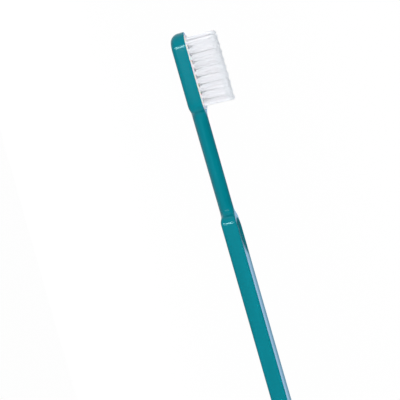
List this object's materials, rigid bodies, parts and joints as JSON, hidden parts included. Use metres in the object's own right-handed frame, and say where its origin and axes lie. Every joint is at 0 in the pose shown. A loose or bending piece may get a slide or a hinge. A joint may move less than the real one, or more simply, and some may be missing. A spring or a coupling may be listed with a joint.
{
  "type": "manual toothbrush",
  "caption": "Manual toothbrush with a flat rectangular grip, thumb scoop, round neck and a framed head that takes a press-in refill plate of staggered bristle tufts.",
  "frame": {"origin": "centre of the bounding box in plan, on the surface the brush lies on with its back down", "axes": "+X runs along the brush from the grip to the head, +Y across it to the left, +Z out of the bristles"},
  "size_m": [0.19, 0.0122, 0.0165],
  "materials": {
    "handle": "glossy moulded bioplastic in deep teal",
    "plate": "satin moulded white with a faint pink cast",
    "bristle": "white nylon filament, slightly translucent",
    "anchor": "drawn nickel silver strip"
  },
  "bodies": {
    "handle": {"handle": "handle"},
    "refill": {"refill_plate": "plate", "tuft_anchors": "anchor", "left_outer_tuft_1": "bristle", "left_outer_tuft_2": "bristle", "left_outer_tuft_3": "bristle", "left_outer_tuft_4": "bristle", "left_outer_tuft_5": "bristle", "left_outer_tuft_6": "bristle", "left_outer_tuft_7": "bristle", "left_outer_tuft_8": "bristle", "left_outer_tuft_9": "bristle", "left_inner_tuft_1": "bristle", "left_inner_tuft_2": "bristle", "left_inner_tuft_3": "bristle", "left_inner_tuft_4": "bristle", "left_inner_tuft_5": "bristle", "left_inner_tuft_6": "bristle", "left_inner_tuft_7": "bristle", "left_inner_tuft_8": "bristle", "left_inner_tuft_9": "bristle", "right_inner_tuft_1": "bristle", "right_inner_tuft_2": "bristle", "right_inner_tuft_3": "bristle", "right_inner_tuft_4": "bristle", "right_inner_tuft_5": "bristle", "right_inner_tuft_6": "bristle", "right_inner_tuft_7": "bristle", "right_inner_tuft_8": "bristle", "right_inner_tuft_9": "bristle", "right_outer_tuft_1": "bristle", "right_outer_tuft_2": "bristle", "right_outer_tuft_3": "bristle", "right_outer_tuft_4": "bristle", "right_outer_tuft_5": "bristle", "right_outer_tuft_6": "bristle", "right_outer_tuft_7": "bristle", "right_outer_tuft_8": "bristle", "right_outer_tuft_9": "bristle"}
  },
  "joints": [
    {"name": "refill_slide", "type": "slide", "parent": "handle", "child": "refill", "axis": [0, 0, 1], "range_m": [0, 0.012]}
  ]
}
